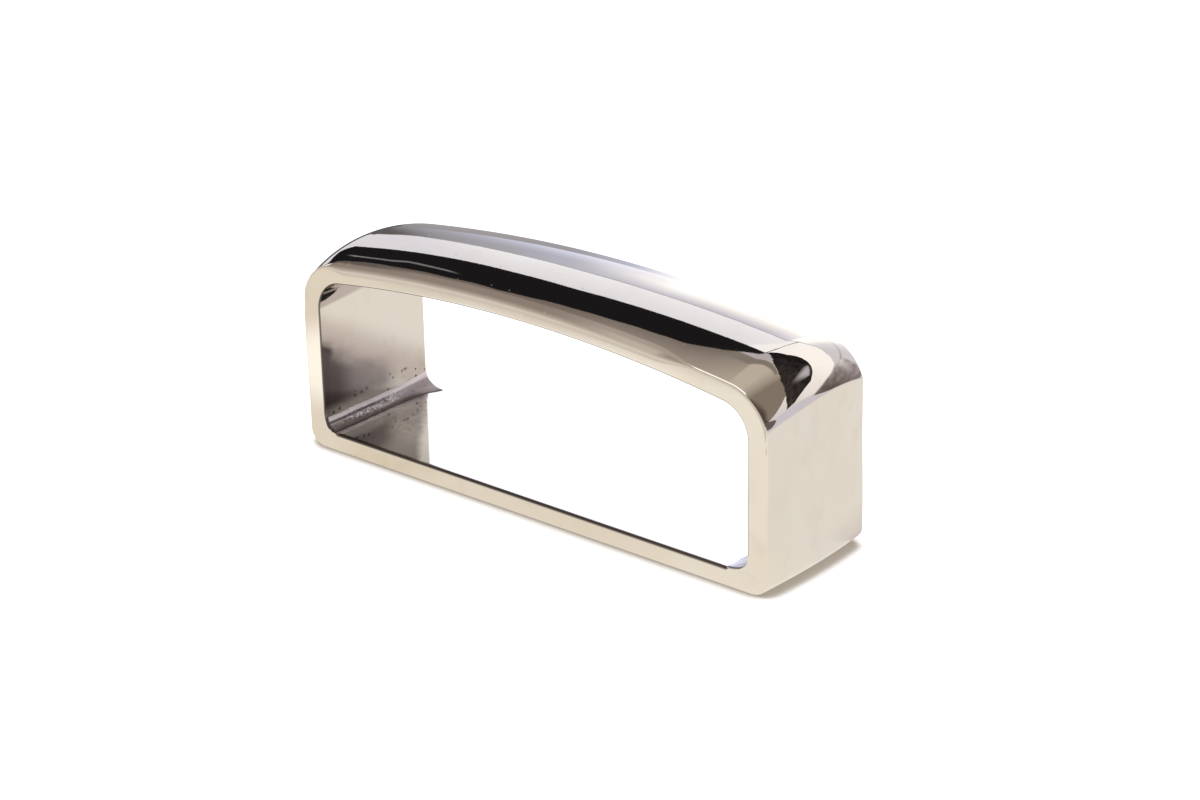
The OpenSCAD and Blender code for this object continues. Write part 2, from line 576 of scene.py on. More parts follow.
class Nodes:
    """Short calls to build a node tree."""

    def __init__(self, tree):
        self.tree = tree
        self.tree.nodes.clear()

    def add(self, kind, **settings):
        node = self.tree.nodes.new(kind)
        for name, value in settings.items():
            setattr(node, name, value)
        return node

    def feed(self, socket, value):
        if isinstance(value, bpy.types.NodeSocket):
            self.tree.links.new(value, socket)
        elif value is not None:
            socket.default_value = value

    def feed_all(self, node, places, values):
        """Feeds values into the node's inputs at these places."""
        for place, value in zip(places, values):
            self.feed(node.inputs[place], value)

    def math(self, operation, a, b=None):
        node = self.add("ShaderNodeMath", operation=operation)
        self.feed_all(node, (0, 1), (a, b))
        return node.outputs[0]

    def times(self, a, b):
        return self.math("MULTIPLY", a, b)

    def ramp(self, value, from_low, from_high, to_low=0.0, to_high=1.0):
        node = self.add("ShaderNodeMapRange", interpolation_type="SMOOTHSTEP")
        self.feed_all(node, range(5), (value, from_low, from_high, to_low, to_high))
        return node.outputs[0]

    def mix(self, share, a, b):
        node = self.add("ShaderNodeMix", data_type="RGBA")
        self.feed_all(node, (0, 6, 7), (share, a, b))
        return node.outputs[2]

    def mix_value(self, share, a, b):
        node = self.add("ShaderNodeMix", data_type="FLOAT")
        self.feed_all(node, (0, 2, 3), (share, a, b))
        return node.outputs[0]

    def mark(self, name):
        return self.add("ShaderNodeAttribute", attribute_name=name).outputs["Fac"]

    def place(self, scale=(1, 1, 1)):
        """Place on the object in millimetres, stretched by scale."""
        where = self.add("ShaderNodeTexCoord").outputs["Object"]
        node = self.add("ShaderNodeVectorMath", operation="MULTIPLY")
        self.feed(node.inputs[0], where)
        node.inputs[1].default_value = [s / MM for s in scale]
        return node.outputs[0]

    def axes(self):
        """The place's x, y and z in millimetres."""
        node = self.add("ShaderNodeSeparateXYZ")
        self.feed(node.inputs[0], self.place())
        return node.outputs

    def noise(self, where, scale, detail=3.0, rough=0.5):
        node = self.add("ShaderNodeTexNoise")
        self.feed(node.inputs["Vector"], where)
        node.inputs["Scale"].default_value = scale
        node.inputs["Detail"].default_value = detail
        node.inputs["Roughness"].default_value = rough
        return node.outputs["Fac"]

    def specks(self, scale, radius, share):
        """1 on small spots, which a share of the cells of this scale holds."""
        node = self.add("ShaderNodeTexVoronoi")
        self.feed(node.inputs["Vector"], self.place())
        node.inputs["Scale"].default_value = scale
        split = self.add("ShaderNodeSeparateColor")
        self.feed(split.inputs[0], node.outputs["Color"])
        chosen = self.math("LESS_THAN", split.outputs[0], share)
        return self.times(chosen, self.ramp(node.outputs["Distance"], radius, 0.6 * radius))

    def bump(self, height, distance):
        node = self.add("ShaderNodeBump")
        self.feed(node.inputs["Height"], height)
        node.inputs["Distance"].default_value = distance
        return node.outputs[0]


def new_material(name):
    """A material with its node helper and its output node."""
    material = bpy.data.materials.new(name)
    material.use_nodes = True
    n = Nodes(material.node_tree)
    return material, n, n.add("ShaderNodeOutputMaterial")


def metal_shader(n, out, metallic=1.0):
    shader = n.add("ShaderNodeBsdfPrincipled")
    shader.inputs["Metallic"].default_value = metallic
    n.feed(out.inputs["Surface"], shader.outputs[0])
    return shader


NICKEL = (0.80, 0.745, 0.65, 1)
NICKEL_WARM = (0.79, 0.725, 0.62, 1)
NICKEL_PALE = (0.81, 0.765, 0.685, 1)
# Near-white on the bar's top, which paints a highlight there
TOP_PAINTED_HIGHLIGHT = (1.0, 0.985, 0.95, 1)
NICKEL_DULL = (0.745, 0.685, 0.59, 1)
# Heat tint and painted shade on the bar's top beside the left solder, and a deeper one towards the front
TARNISH_AND_SHADE = (0.33, 0.28, 0.26, 1)
TARNISH_AND_SHADE_DEEP = (0.13, 0.10, 0.09, 1)
# Tint on the bow's inside, partly heat tint and partly painted shade; the deep one also colours the flecks
WALL_TINT_AND_SHADE = (0.26, 0.22, 0.205, 1)
WALL_TINT_AND_SHADE_DEEP = (0.085, 0.065, 0.06, 1)
# Painted shade along the rounded inner front rims
RIM_PAINTED_SHADE = (0.12, 0.10, 0.09, 1)


def polished_colour(n):
    """Nickel with large, faint warm and pale clouds and small dull smudges."""
    warm = n.ramp(n.noise(n.place(), 0.35, 2.0), 0.35, 0.7)
    pale = n.ramp(n.noise(n.place((1, 1, 0.6)), 0.8, 3.0), 0.5, 0.8, 0.0, 0.6)
    dull = n.ramp(n.noise(n.place((1, 1.5, 1)), 0.6, 5.0, 0.6), 0.54, 0.72, 0.0, 0.7)
    clouded = n.mix(pale, n.mix(warm, NICKEL, NICKEL_WARM), NICKEL_PALE)
    return n.mix(dull, clouded, NICKEL_DULL)


# The bar's tint and painted shade grow darker towards the front, over this stretch of y
TARNISH_AND_SHADE_DARKENS = (-1.0, -2.8)


def tarnish_and_shade_colour(n):
    """Heat tint and painted shade in brown, with darker crumbs, and darker painted shade that gathers at
    the front edge.
    """
    crumbs = n.ramp(n.noise(n.place(), 3.2, 5.0, 0.65), 0.54, 0.66)
    front = n.ramp(n.axes()[1], *TARNISH_AND_SHADE_DARKENS, 0.0, 0.85)
    return n.mix(n.math("MAXIMUM", crumbs, front), TARNISH_AND_SHADE, TARNISH_AND_SHADE_DEEP)


# The wall's tint and painted shade end at the top over these stretches of height, in its cloud and
# close to the front edge, and reach lower by this slope along y
WALL_TINT_TOP = (4.6, 3.25)
WALL_TINT_TOP_FRONT = (4.4, 3.75)
WALL_TINT_SLOPE = 0.5
# Towards the front, it fades in, grows stronger, grows darker and takes the edge's own strength
WALL_TINT_STARTS = (1.8, 0.3)
WALL_TINT_GROWS = (0.5, -2.0)
WALL_TINT_DARKENS = (-1.1, -2.8)
WALL_TINT_EDGE = (-1.9, -3.1)
# It is thin just above the solder, and grows full over this stretch of height
WALL_TINT_FOOT = (1.5, 2.2)


def wall_tarnish_and_shade(n):
    """Share of heat tint and painted shade on the bow's inside: low at the back, and higher and darker at
    the front.
    """
    _, y, z = n.axes()
    wander = n.times(n.noise(n.place((1, 0.6, 1.4)), 0.7, 3.0), 1.1)
    height = n.math("ADD", n.math("ADD", z, n.times(y, WALL_TINT_SLOPE)), wander)
    share = n.times(n.ramp(y, *WALL_TINT_STARTS), n.ramp(y, *WALL_TINT_GROWS, 0.78, 0.95))
    cloud = n.times(n.ramp(height, *WALL_TINT_TOP), share)
    edge = n.times(n.ramp(y, *WALL_TINT_EDGE, 0.0, 0.97), n.ramp(height, *WALL_TINT_TOP_FRONT))
    return n.times(n.math("MAXIMUM", cloud, edge), n.ramp(z, *WALL_TINT_FOOT, 0.3, 1.0))


# Heights below which flecks gather above the solder, and over which the satin grows duller in
# two steps
FLECKS_BELOW = (2.7, 1.9)
SATIN_UPPER = (7.0, 4.6)
SATIN_LOWER = (3.6, 1.2)


def bow_material():
    """Mirror polish outside, and satin inside with heat tint, painted shade and flecks above the solder,
    and painted shade on the inner front rim.
    """
    material, n, out = new_material("polished_nickel")
    shader = metal_shader(n, out)
    inside = n.mark("inside")
    _, y, z = n.axes()
    flecks = n.times(n.specks(3.6, 0.34, 0.75), n.ramp(z, *FLECKS_BELOW))
    # Heat tint and painted shade on the inside, darker low down and towards the front
    tint = n.times(inside, wall_tarnish_and_shade(n))
    tinted = n.mix(n.ramp(y, *WALL_TINT_DARKENS), WALL_TINT_AND_SHADE, WALL_TINT_AND_SHADE_DEEP)
    colour = n.mix(tint, polished_colour(n), tinted)
    colour = n.mix(n.times(n.times(inside, flecks), 0.9), colour, WALL_TINT_AND_SHADE_DEEP)
    # Painted shade along the rounded inner front rim
    n.feed(shader.inputs["Base Color"], n.mix(n.mark("rim"), colour, RIM_PAINTED_SHADE))
    fine = n.noise(n.place((1, 3, 1)), 6.0, 4.0)
    dust = n.specks(1.7, 0.1, 0.3)
    polish = n.math("ADD", n.ramp(fine, 0.3, 0.8, 0.02, 0.035), n.times(dust, 0.25))
    drawn = n.ramp(n.noise(n.place((1, 0.3, 1)), 2.5, 3.0), 0.3, 0.7, 0.0, 0.12)
    lower = n.times(n.ramp(z, *SATIN_LOWER), drawn)
    satin = n.math("ADD", n.ramp(z, *SATIN_UPPER, 0.05, 0.14), lower)
    n.feed(shader.inputs["Roughness"], n.mix_value(inside, polish, satin))
    n.feed(shader.inputs["Normal"], n.bump(fine, 0.0001 * MM))
    return material


# The bar's tint and painted shade end on the line x + TINT_SLOPE * y = TINT_END, and fade over this
# much beyond the line and within it
TINT_SLOPE = 0.857
TINT_END = -9.25
TINT_BEYOND = 0.05
TINT_WITHIN = 0.6


def bar_tarnish_and_shade(n):
    """Share of heat tint and painted shade on the bar's top, in the corner beside the left solder."""
    x, y, _ = n.axes()
    wander = n.times(n.math("SUBTRACT", n.noise(n.place(), 1.4, 4.0, 0.6), 0.5), 0.6)
    reach = n.math("ADD", n.math("ADD", x, n.times(y, TINT_SLOPE)), wander)
    return n.ramp(reach, TINT_END + TINT_BEYOND, TINT_END - TINT_WITHIN, 0.0, 0.75)


def bar_material():
    """Nickel outside, and a near-white top that paints a highlight, with heat tint and painted shade
    beside the left solder.
    """
    material, n, out = new_material("nickel_with_painted_highlight_top")
    shader = metal_shader(n, out)
    inside = n.mark("inside")
    # The top: a painted highlight, with heat tint and painted shade beside the left solder
    top = n.mix(bar_tarnish_and_shade(n), TOP_PAINTED_HIGHLIGHT, tarnish_and_shade_colour(n))
    colour = n.mix(inside, polished_colour(n), top)
    # Painted shade along the rounded inner front rim
    n.feed(shader.inputs["Base Color"], n.mix(n.mark("rim"), colour, RIM_PAINTED_SHADE))
    cloud = n.ramp(n.noise(n.place(), 0.9, 4.0, 0.6), 0.45, 0.75, 0.03, 0.05)
    n.feed(shader.inputs["Roughness"], n.mix_value(inside, 0.04, cloud))
    return material


SOLDER_PIT = (0.17, 0.14, 0.14, 1)
SOLDER_GREY = (0.50, 0.46, 0.47, 1)
SOLDER_PINK = (0.62, 0.55, 0.54, 1)
# Brown that paints a shadow along the solder's foot
SOLDER_PAINTED_SHADOW = (0.22, 0.175, 0.165, 1)
SOLDER_PALE = (0.96, 0.89, 0.88, 1)
# Near-white that paints glints on the grain
SOLDER_PAINTED_GLINT = (0.98, 0.96, 0.95, 1)
# Near-black that paints shadow along the toe
SOLDER_TOE_SHADOW = (0.10, 0.08, 0.075, 1)
SOLDER_CLEAN = (0.94, 0.92, 0.96, 1)
# The left solder's rough look fades in and out over these stretches of y
ROUGH_IN = (-3.2, -1.6)
ROUGH_OUT = (1.8, 0.6)
# Shares of the climb up the wall: where the pale upper band starts, where the brown foot of
# painted shadow ends, where it ends at the front, and over which the toe's dark line of painted
# shadow fades out
PALE_BAND = 0.72
BROWN_FOOT = 0.30
BROWN_FOOT_FRONT = 0.55
TOE_LINE = (0.16, 0.04)
# Stretches of y over which the brown foot grows taller, over which it fades in, and over which the
# dark line below the pale band does
FOOT_GROWS = (-0.8, -2.4)
FOOT_STARTS = (3.0, 1.6)
LINE_STARTS = (1.4, -0.4)
# Stretch of x between the two solders, where one look gives way to the other
BETWEEN_SIDES = (-1.0, 1.0)


def solder_colour(n, rough):
    """Grey with pits and painted glints, between a brown foot of painted shadow and a pale upper band, on
    the left side.

    The right side's solder is clean and pale.
    """
    climb = n.mark("climb")
    x, y, _ = n.axes()
    grain = n.noise(n.place(), 7.0, 5.0, 0.7)
    grey = n.mix(n.ramp(n.noise(n.place(), 1.2, 2.0), 0.4, 0.65), SOLDER_GREY, SOLDER_PINK)
    foot_end = n.ramp(y, *FOOT_GROWS, BROWN_FOOT, BROWN_FOOT_FRONT)
    above = n.math("SUBTRACT", n.math("SUBTRACT", climb, foot_end), n.times(grain, 0.12))
    # Painted shadow along the foot: brown low on the climb, and the toe's near-black line below
    foot = n.times(n.ramp(above, 0.0, -0.14), n.ramp(y, *FOOT_STARTS, 0.3, 0.9))
    footed = n.mix(n.ramp(climb, *TOE_LINE), n.mix(foot, grey, SOLDER_PAINTED_SHADOW), SOLDER_TOE_SHADOW)
    wander = n.times(n.math("SUBTRACT", grain, 0.5), 0.1)
    band = n.ramp(n.math("ADD", climb, wander), PALE_BAND, PALE_BAND + 0.09)
    banded = n.mix(band, footed, SOLDER_PALE)
    line_top = n.ramp(climb, PALE_BAND + 0.03, PALE_BAND)
    line = n.times(n.ramp(climb, PALE_BAND - 0.15, PALE_BAND - 0.08), line_top)
    line = n.times(n.times(line, n.ramp(y, *LINE_STARTS)), n.ramp(grain, 0.66, 0.54))
    below_band = n.ramp(climb, PALE_BAND + 0.1, PALE_BAND)
    pitted = n.times(n.times(n.ramp(grain, 0.47, 0.40), rough), below_band)
    pits = n.math("MAXIMUM", pitted, line)
    # Painted glints: near-white spots on the rough stretch
    bright = n.ramp(n.noise(n.place(), 8.0, 3.0, 0.6), 0.53, 0.57)
    painted_glints = n.times(n.times(rough, n.ramp(climb, 0.3, 0.45)), bright)
    rough_run = n.mix(pits, n.mix(painted_glints, banded, SOLDER_PAINTED_GLINT), SOLDER_PIT)
    return n.mix(n.ramp(x, *BETWEEN_SIDES), rough_run, SOLDER_CLEAN)


# Widths over which the hollow's look ends at the loop's faces, and its front rim of painted shade
FACE_FADE = (0.01, 0.05)
RIM_FADE = (0.26, 0.16)
# Depth of the fine grain on the rough solder
SOLDER_BUMP = 0.06


def solder_material():
    """Grainy in the left hollow, and polished where it is ground flush with the loop's faces."""
    material, n, out = new_material("rough_solder")
    shader = metal_shader(n, out, 0.8)
    x, y, _ = n.axes()
    off_middle = n.math("ABSOLUTE", y)
    off_face = n.ramp(off_middle, HALF_D - FACE_FADE[0], HALF_D - FACE_FADE[1])
    inside = n.times(n.mark("hollow"), off_face)
    rough = n.times(n.ramp(y, *ROUGH_IN), n.ramp(y, *ROUGH_OUT))
    rim = n.times(n.ramp(y, RIM_FADE[0] - HALF_D, RIM_FADE[1] - HALF_D), inside)
    # A front rim of painted shade on the hollow
    hollow_colour = n.mix(rim, solder_colour(n, rough), RIM_PAINTED_SHADE)
    n.feed(shader.inputs["Base Color"], n.mix(inside, NICKEL, hollow_colour))
    grain = n.noise(n.place(), 7.0, 5.0, 0.7)
    dull = n.mix_value(n.ramp(x, *BETWEEN_SIDES), n.ramp(grain, 0.5, 0.7, 0.45, 0.25), 0.2)
    n.feed(shader.inputs["Roughness"], n.mix_value(inside, 0.05, dull))
    n.feed(shader.inputs["Normal"], n.bump(n.times(grain, n.times(inside, rough)), SOLDER_BUMP * MM))
    return material


# Studio

FLOOR_COLOUR = (0.95, 0.95, 0.95, 1)
CONTACT_COLOUR = (0.35, 0.31, 0.265, 1)
# The floor darkens where the loop lies within this many millimetres, by these openness limits
CONTACT_REACH = 0.9
CONTACT_OPEN = (0.45, 0.85)
# Light that the floor gives to the camera, so that it stays white around the loop
FLOOR_TO_CAMERA = 0.5
# The floor's tone in the metal: close behind the loop with a painted shadow, beside it, close in
# front, in a warm patch there, farther in front, in a pool of light, and far away
BEHIND_SHADOW_TONE = (0.62, 0.56, 0.565, 1)
BESIDE_TONE = (0.92, 0.90, 0.895, 1)
FRONT_TONE = (0.92, 0.87, 0.80, 1)
GOLD_TONE = (0.78, 0.70, 0.57, 1)
AHEAD_TONE = (1.02, 0.985, 0.94, 1)
POOL_TONE = (1.26, 1.24, 1.22, 1)
FAR_TONE = (0.76, 0.71, 0.68, 1)
# They fade in over these stretches of x and y, and the pool's left edge slants
BEHIND_BACK = (9.6, 6.6)
BEHIND_FRONT = (2.8, 3.4)
BEHIND_RIGHT = (16.0, 12.0)
FRONT_STARTS = (2.0, -4.0)
GOLD_LEFT = (-12.5, -10.5)
GOLD_RIGHT = (-5.5, -8.0)
GOLD_FRONT = (-6.0, -4.5)
AHEAD_STARTS = (-5.0, -9.0)
AHEAD_LEFT = (-24.0, -12.0)
AHEAD_RIGHT = (3.0, 11.0)
POOL_LEFT = (-31.0, -26.0)
POOL_SLANT = 0.35
POOL_RIGHT = (-2.0, -11.0)
POOL_STARTS = (-6.0, -9.5)
FAR_STARTS = (-20.0, -22.5)


def floor_in_metal(n):
    """The floor's tone by place, as the metal mirrors it, with a painted shadow close behind the loop."""
    x, y, _ = n.axes()
    # Painted shadow on the floor close behind the loop
    behind = n.times(n.ramp(y, *BEHIND_BACK), n.ramp(y, *BEHIND_FRONT))
    beside = n.mix(n.times(behind, n.ramp(x, *BEHIND_RIGHT)), BESIDE_TONE, BEHIND_SHADOW_TONE)
    patch = n.times(n.times(n.ramp(x, *GOLD_LEFT), n.ramp(x, *GOLD_RIGHT)), n.ramp(y, *GOLD_FRONT))
    front = n.mix(n.times(patch, n.noise(n.place(), 0.9, 3.0)), FRONT_TONE, GOLD_TONE)
    ahead = n.times(n.ramp(y, *AHEAD_STARTS), n.ramp(x, *AHEAD_LEFT))
    front = n.mix(n.math("MAXIMUM", ahead, n.ramp(x, *AHEAD_RIGHT, 0.0, 0.7)), front, AHEAD_TONE)
    near = n.mix(n.ramp(y, *FRONT_STARTS), beside, front)
    slanted = n.math("ADD", x, n.times(y, POOL_SLANT))
    across = n.times(n.ramp(slanted, *POOL_LEFT), n.ramp(x, *POOL_RIGHT))
    pool = n.times(across, n.ramp(y, *POOL_STARTS))
    return n.mix(n.ramp(y, *FAR_STARTS), n.mix(pool, near, POOL_TONE), FAR_TONE)


def floor_material():
    """White matte with the shadow where the loop stands, and a white background to metal."""
    material, n, out = new_material("white_floor")
    touch = n.add("ShaderNodeAmbientOcclusion", samples=8)
    touch.inputs["Distance"].default_value = CONTACT_REACH * MM
    shade = n.mix(n.ramp(touch.outputs["AO"], *CONTACT_OPEN), CONTACT_COLOUR, FLOOR_COLOUR)
    matte = n.add("ShaderNodeBsdfDiffuse")
    n.feed(matte.inputs["Color"], shade)
    path = n.add("ShaderNodeLightPath")
    glow = n.add("ShaderNodeEmission")
    n.feed(glow.inputs["Color"], shade)
    n.feed(glow.inputs["Strength"], n.times(path.outputs["Is Camera Ray"], FLOOR_TO_CAMERA))
    seen = n.add("ShaderNodeAddShader")
    n.feed_all(seen, (0, 1), (matte.outputs[0], glow.outputs[0]))
    mirrored = n.add("ShaderNodeEmission")
    n.feed(mirrored.inputs["Color"], floor_in_metal(n))
    both = n.add("ShaderNodeMixShader")
    in_metal = n.math("MAXIMUM", path.outputs["Is Glossy Ray"], path.outputs["Is Transmission Ray"])
    n.feed_all(both, (0, 1, 2), (in_metal, seen.outputs[0], mirrored.outputs[0]))
    n.feed(out.inputs["Surface"], both.outputs[0])
    return material


FLOOR_RADIUS = 3000
FLOOR_SIDES = 64


def floor():
    points = [(FLOOR_RADIUS * math.cos(a), FLOOR_RADIUS * math.sin(a), 0)
              for a in steps(0, 2 * math.pi, FLOOR_SIDES)]
    mesh_object("floor", points, [tuple(range(FLOOR_SIDES))], floor_material())


def direction(along, lean):
    """Unit vector that leans back from +Z by lean and turns towards +X by along, in degrees."""
    m = math.radians(along)
    a = math.radians(lean)
    return Vector((math.sin(m), math.cos(m) * math.sin(a), math.cos(m) * math.cos(a)))


def between(stops, at):
    """Value at a place between stops, which are (place, value) pairs."""
    if at <= stops[0][0]:
        return stops[0][1]
    for (x0, v0), (x1, v1) in zip(stops, stops[1:]):
        if at <= x1:
            return v0 + (v1 - v0) * ((at - x0) / (x1 - x0))
    return stops[-1][1]


def card_material(name):
    """Emission of the points' own tone, see-through where the tone's alpha falls."""
    material, n, out = new_material(name)
    tone = n.add("ShaderNodeAttribute", attribute_name="tone")
    glow = n.add("ShaderNodeEmission")
    n.feed(glow.inputs["Color"], tone.outputs["Color"])
    clear = n.add("ShaderNodeBsdfTransparent")
    both = n.add("ShaderNodeMixShader")
    n.feed_all(both, (0, 1, 2), (tone.outputs["Alpha"], clear.outputs[0], glow.outputs[0]))
    n.feed(out.inputs["Surface"], both.outputs[0])
    return material


CARD_COLUMNS = 96
CARD_ROWS = 24
# Depth in degrees and fineness of the wavering along a card's low edge, and fineness of a card's
# mottling along and across
WAVER = 0.5
WAVER_SCALE = 0.35
MOTTLE_SCALE = (0.18, 0.3)


class Soft:
    """Widths in degrees over which a card fades at its low, high, start and end edges."""

    def __init__(self, low=0.0, high=0.0, start=0.0, end=0.0):
        self.widths = (low, high, start, end)

    def alpha(self, distances):
        shown = 1.0
        for width, distance in zip(self.widths, distances):
            if width > 0:
                shown *= smooth_step(0, width, distance)
        return shown


def stage_card(name, points, faces, colours):
    """A card of the studio, with a colour for each point, which only metal sees."""
    made = mesh_object(name, points, faces, card_material(name))
    stored = made.data.color_attributes.new("tone", "FLOAT_COLOR", "POINT")
    for item, colour in zip(stored.data, colours):
        item.color = colour
    made.visible_camera = False
    made.visible_diffuse = False
    made.visible_shadow = False


def card(name, distance, low, high, tones, soft=Soft(), centre=(0, 0, 0), mottle=0.0, waver=0.0):
    """A curved studio card between two edges, which only metal sees.

    low and high are (along, lean) stops of its edges in degrees, seen from centre. tones are
    (along, colours) stops, with the colours evenly spread from the low edge to the high one.
    """
    start = max(low[0][0], high[0][0])
    end = min(low[-1][0], high[-1][0])
    rows = len(tones[0][1])
    across = [[(along, Vector(colours[i])) for along, colours in tones] for i in range(rows)]
    points = []
    colours = []
    for i in range(CARD_COLUMNS + 1):
        along = start + (end - start) * i / CARD_COLUMNS
        wander = waver * noise.fractal(Vector((along * WAVER_SCALE, distance, 0)), 1.0, 2.0, 3)
        bottom = between(low, along) + wander
        top = between(high, along)
        here = [(k / (rows - 1), between(stops, along)) for k, stops in enumerate(across)]
        for j in range(CARD_ROWS + 1):
            share = j / CARD_ROWS
            lean = bottom + (top - bottom) * share
            points.append(Vector(centre) + direction(along, lean) * distance)
            spot = Vector((along * MOTTLE_SCALE[0], lean * MOTTLE_SCALE[1], distance))
            cloud = 1 + mottle * noise.fractal(spot, 1.0, 2.0, 3)
            tone = between(here, share) * cloud
            shown = soft.alpha((lean - bottom, top - lean, along - start, end - along))
            colours.append((*tone, shown))
    faces = []
    for i in range(CARD_COLUMNS):
        for j in range(CARD_ROWS):
            a = i * (CARD_ROWS + 1) + j
            b = a + CARD_ROWS + 1
            faces.append((a, a + 1, b + 1, b))
    stage_card(name, points, faces, colours)


BLACK = (0.012, 0.011, 0.013)
BLACK_WARM = (0.045, 0.038, 0.038)
STREAK = (0.22, 0.22, 0.25)
STREAK_PALE = (0.34, 0.34, 0.38)
CREAM = (0.80, 0.77, 0.74)
SAND = (0.62, 0.57, 0.54)
SAND_DEEP = (0.50, 0.45, 0.425)
CLAY = (0.47, 0.42, 0.40)
CLAY_DEEP = (0.33, 0.28, 0.265)
UMBER = (0.15, 0.125, 0.12)
SHADE = (0.74, 0.73, 0.79)
SHADE_DEEP = (0.52, 0.49, 0.52)
TAN = (0.60, 0.55, 0.50)
TAN_DEEP = (0.27, 0.23, 0.20)
OLIVE = (0.27, 0.24, 0.225)
OLIVE_DEEP = (0.13, 0.12, 0.125)
HAZE = (0.55, 0.53, 0.60)
HAZE_PALE = (0.70, 0.69, 0.86)
STRIP_COOL = (0.86, 0.87, 1.0)
STRIP_LOW = (0.93, 0.94, 1.08)
STRIP_HIGH = (1.05, 1.08, 1.22)
STRIP_SEAM = (1.12, 1.15, 1.26)
STRIP_WARM = (1.22, 1.20, 1.27)
STRIP_DIM = (0.74, 0.73, 0.77)
LINE_GREY = (0.36, 0.34, 0.38)
LINE_PALE = (0.70, 0.71, 0.84)
LILAC_DEEP = (0.36, 0.36, 0.43)
LILAC = (0.56, 0.58, 0.73)
LILAC_PALE = (0.90, 0.94, 1.22)
LILAC_SOFT = (0.47, 0.49, 0.68)
GREY = (0.38, 0.37, 0.40)
GLARE = (1.35, 1.35, 1.42)
GLARE_SOFT = (0.90, 0.92, 1.04)
GLARE_DIM = (0.76, 0.77, 0.88)
BROWN = (0.16, 0.13, 0.13)
BROWN_DEEP = (0.10, 0.075, 0.07)
BROWN_GREY = (0.30, 0.26, 0.28)
MAUVE = (0.40, 0.35, 0.41)
SIDE_GREY = (0.77, 0.76, 0.81)

# Distances of the cards: what lies nearer hides what lies farther
FAR = 1300
BACK = 1200
STRIP = 1100
BAND = 1050
DARK = 1000
DETAIL = 950
LAMP = 900
# Some cards stand close behind the loop, and are laid out as the right upper corner sees them
NEAR = 50
CORNER = (12.5, 0, 9.5)
# Height over y = 0, and slope, of a flat card behind the loop
WALL_SHADE_Z = 9.5
WALL_SHADE_SLOPE = 0.2


def level(*stops):
    """Tone stops, with each tone the same from the low edge to the high one."""
    return [(along, (tone, tone)) for along, tone in stops]


def even(tone, start, end):
    """Tone stops of one tone all over."""
    return level((start, tone), (end, tone))


def ceiling_cards():
    """Tan room over and before the loop, with thin lamps along its front edge."""
    far_left = (CREAM, SAND_DEEP, CLAY_DEEP, CLAY_DEEP, UMBER, OLIVE_DEEP)
    left = (CREAM, SAND_DEEP, CLAY_DEEP, CLAY_DEEP, CLAY_DEEP, UMBER)
    beside = (CREAM, SAND, SAND, CLAY, CLAY, UMBER)
    middle = (CREAM, SAND, CLAY, CLAY, TAN, TAN)
    right = (CREAM, SAND, TAN_DEEP, TAN_DEEP, TAN_DEEP, TAN_DEEP)
    card("ceiling", FAR, [(-80, -88), (80, -88)], [(-80, 34), (80, 34)],
         [(-80, far_left), (-49.8, far_left), (-47, left), (-35.5, left), (-31.5, beside), (-26, beside),
          (-20, middle), (2, middle), (26, right), (80, right)])
    card("ceiling_top", FAR, [(-80, 33.5), (80, 33.5)], [(-80, 46), (80, 46)],
         level((-80, OLIVE_DEEP), (-49.8, OLIVE_DEEP), (-47, UMBER), (-26, UMBER), (-20, TAN), (2, TAN),
               (26, TAN_DEEP), (80, TAN_DEEP)))
    card("thin_lamp", LAMP, [(-27, -35), (15, -35)], [(-27, 9), (15, 9)], even(GLARE, -27, 15),
         Soft(high=2, start=2, end=3))
    card("left_lamp", LAMP, [(-80, -35), (-51.8, -35)], [(-80, 11), (-51.8, 11)], even(GLARE, -80, -51.8),
         Soft(high=2, end=1.5))
    card("dark_end", LAMP, [(22, -40), (46, -35), (64, -30), (84, -20)],
         [(22, 5), (30, 10), (46, 18), (64, 33), (70.5, 48), (74, 62), (84, 66)], even(BROWN_DEEP, 22, 84),
         Soft(high=5, start=4))


